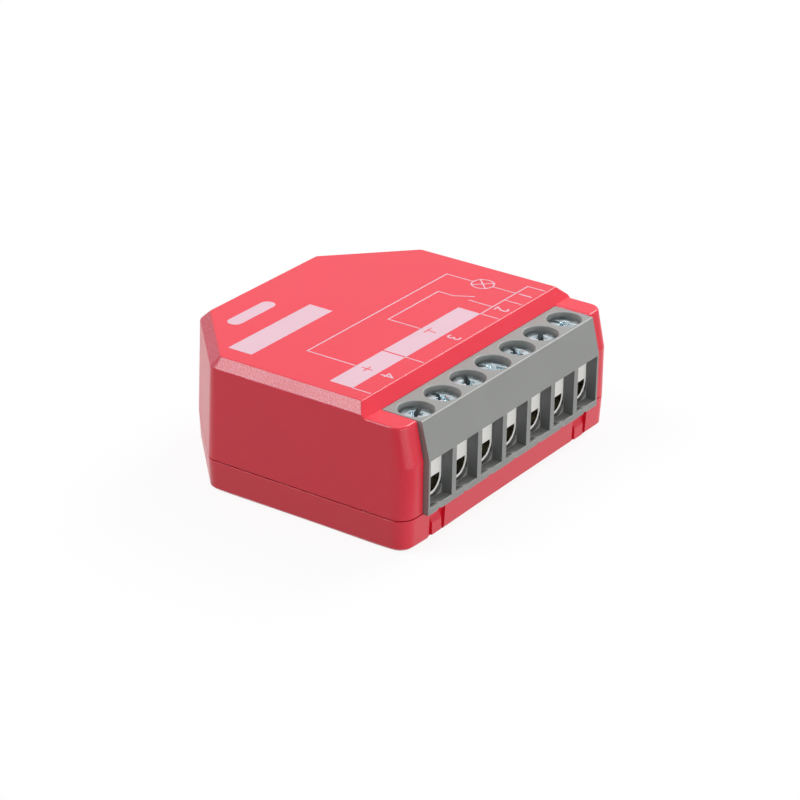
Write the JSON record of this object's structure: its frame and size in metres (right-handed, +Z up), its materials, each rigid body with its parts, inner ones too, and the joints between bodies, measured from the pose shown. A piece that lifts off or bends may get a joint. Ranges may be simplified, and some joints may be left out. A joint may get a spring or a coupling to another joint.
{
  "type": "relay module",
  "caption": "Flat in-wall relay module: red two-part case with cut rear corners and a grey screw terminal block across its front.",
  "frame": {"origin": "under the middle of the whole module, on the surface that it stands on", "axes": "+X along the terminals, -Y out of the wire entries, +Z up through the printed top face"},
  "size_m": [0.042, 0.037, 0.016],
  "materials": {
    "red_shell": "semi-gloss moulded",
    "terminal_grey": "matt moulded",
    "zinc_screw": "zinc plated",
    "nickel_clamp": "nickel plated",
    "tinned_metal": "tinned",
    "board_green": "solder mask",
    "black_plastic": "moulded",
    "bobbin_plastic": "moulded",
    "copper_wire": "enamelled wire",
    "soft_iron": "plated",
    "contact_brass": "bare",
    "contact_silver": "satin",
    "capacitor_grey": "moulded",
    "capacitor_can": "drawn can",
    "ferrite": "sintered",
    "resistor_body": "lacquered",
    "varistor_blue": "coated",
    "button_plastic": "moulded",
    "lamp_plastic": "clear"
  },
  "bodies": {
    "case": {"upper_shell": "red_shell", "lower_shell": "red_shell", "terminal_pole_1": "terminal_grey", "terminal_pole_2": "terminal_grey", "terminal_pole_3": "terminal_grey", "terminal_pole_4": "terminal_grey", "terminal_pole_5": "terminal_grey", "terminal_pole_6": "terminal_grey", "terminal_pole_7": "terminal_grey", "contact_bar_1": "tinned_metal", "contact_bar_2": "tinned_metal", "contact_bar_3": "tinned_metal", "contact_bar_4": "tinned_metal", "contact_bar_5": "tinned_metal", "contact_bar_6": "tinned_metal", "contact_bar_7": "tinned_metal", "main_board": "board_green", "relay_base": "black_plastic", "relay_cover": "black_plastic", "relay_bobbin": "bobbin_plastic", "relay_winding": "copper_wire", "relay_core": "soft_iron", "relay_yoke": "soft_iron", "relay_fixed_contact": "contact_brass", "relay_coil_pin_1": "tinned_metal", "relay_coil_pin_2": "tinned_metal", "film_capacitor": "capacitor_grey", "bulk_capacitor": "capacitor_can", "smoothing_capacitor": "capacitor_can", "choke_core": "ferrite", "choke_winding": "copper_wire", "fusible_resistor": "resistor_body", "varistor": "varistor_blue", "bridge_rectifier": "black_plastic", "converter_chip": "black_plastic", "radio_board": "board_green", "radio_shield": "tinned_metal", "radio_antenna": "contact_brass", "button_body": "black_plastic", "status_lamp": "lamp_plastic"},
    "screw_1": {"clamp_screw_1": "zinc_screw"},
    "cage_1": {"clamp_cage_1": "nickel_clamp"},
    "screw_2": {"clamp_screw_2": "zinc_screw"},
    "cage_2": {"clamp_cage_2": "nickel_clamp"},
    "screw_3": {"clamp_screw_3": "zinc_screw"},
    "cage_3": {"clamp_cage_3": "nickel_clamp"},
    "screw_4": {"clamp_screw_4": "zinc_screw"},
    "cage_4": {"clamp_cage_4": "nickel_clamp"},
    "screw_5": {"clamp_screw_5": "zinc_screw"},
    "cage_5": {"clamp_cage_5": "nickel_clamp"},
    "screw_6": {"clamp_screw_6": "zinc_screw"},
    "cage_6": {"clamp_cage_6": "nickel_clamp"},
    "screw_7": {"clamp_screw_7": "zinc_screw"},
    "cage_7": {"clamp_cage_7": "nickel_clamp"},
    "armature": {"relay_armature": "soft_iron", "relay_contact_spring": "contact_brass", "relay_moving_contact": "contact_silver"},
    "button": {"button_plunger": "button_plastic"}
  },
  "joints": [
    {"name": "screw_1_turn", "type": "hinge", "parent": "case", "child": "screw_1", "pos_m": [-0.015, -0.015, 0.0116], "axis": [0, 0, -1], "range_deg": [0, 1044]},
    {"name": "cage_1_rise", "type": "slide", "parent": "case", "child": "cage_1", "axis": [0, 0, 1], "range_m": [0, 0.00145]},
    {"name": "screw_2_turn", "type": "hinge", "parent": "case", "child": "screw_2", "pos_m": [-0.01, -0.015, 0.0116], "axis": [0, 0, -1], "range_deg": [0, 1044]},
    {"name": "cage_2_rise", "type": "slide", "parent": "case", "child": "cage_2", "axis": [0, 0, 1], "range_m": [0, 0.00145]},
    {"name": "screw_3_turn", "type": "hinge", "parent": "case", "child": "screw_3", "pos_m": [-0.005, -0.015, 0.0116], "axis": [0, 0, -1], "range_deg": [0, 1044]},
    {"name": "cage_3_rise", "type": "slide", "parent": "case", "child": "cage_3", "axis": [0, 0, 1], "range_m": [0, 0.00145]},
    {"name": "screw_4_turn", "type": "hinge", "parent": "case", "child": "screw_4", "pos_m": [0, -0.015, 0.0116], "axis": [0, 0, -1], "range_deg": [0, 1044]},
    {"name": "cage_4_rise", "type": "slide", "parent": "case", "child": "cage_4", "axis": [0, 0, 1], "range_m": [0, 0.00145]},
    {"name": "screw_5_turn", "type": "hinge", "parent": "case", "child": "screw_5", "pos_m": [0.005, -0.015, 0.0116], "axis": [0, 0, -1], "range_deg": [0, 1044]},
    {"name": "cage_5_rise", "type": "slide", "parent": "case", "child": "cage_5", "axis": [0, 0, 1], "range_m": [0, 0.00145]},
    {"name": "screw_6_turn", "type": "hinge", "parent": "case", "child": "screw_6", "pos_m": [0.01, -0.015, 0.0116], "axis": [0, 0, -1], "range_deg": [0, 1044]},
    {"name": "cage_6_rise", "type": "slide", "parent": "case", "child": "cage_6", "axis": [0, 0, 1], "range_m": [0, 0.00145]},
    {"name": "screw_7_turn", "type": "hinge", "parent": "case", "child": "screw_7", "pos_m": [0.015, -0.015, 0.0116], "axis": [0, 0, -1], "range_deg": [0, 1044]},
    {"name": "cage_7_rise", "type": "slide", "parent": "case", "child": "cage_7", "axis": [0, 0, 1], "range_m": [0, 0.00145]},
    {"name": "armature_close", "type": "hinge", "parent": "case", "child": "armature", "pos_m": [-0.015, -0.0081, 0.0083], "axis": [0, 0, 1], "range_deg": [0, 3.5], "stiffness_Nm_per_rad": 0.05},
    {"name": "button_press", "type": "slide", "parent": "case", "child": "button", "axis": [0, -1, 0], "range_m": [0, 0.00025], "stiffness_N_per_m": 2000}
  ],
  "couplings": [
    {"joint": "screw_1_turn", "follows": "cage_1_rise", "rad_per_m": 12566},
    {"joint": "screw_2_turn", "follows": "cage_2_rise", "rad_per_m": 12566},
    {"joint": "screw_3_turn", "follows": "cage_3_rise", "rad_per_m": 12566},
    {"joint": "screw_4_turn", "follows": "cage_4_rise", "rad_per_m": 12566},
    {"joint": "screw_5_turn", "follows": "cage_5_rise", "rad_per_m": 12566},
    {"joint": "screw_6_turn", "follows": "cage_6_rise", "rad_per_m": 12566},
    {"joint": "screw_7_turn", "follows": "cage_7_rise", "rad_per_m": 12566}
  ]
}
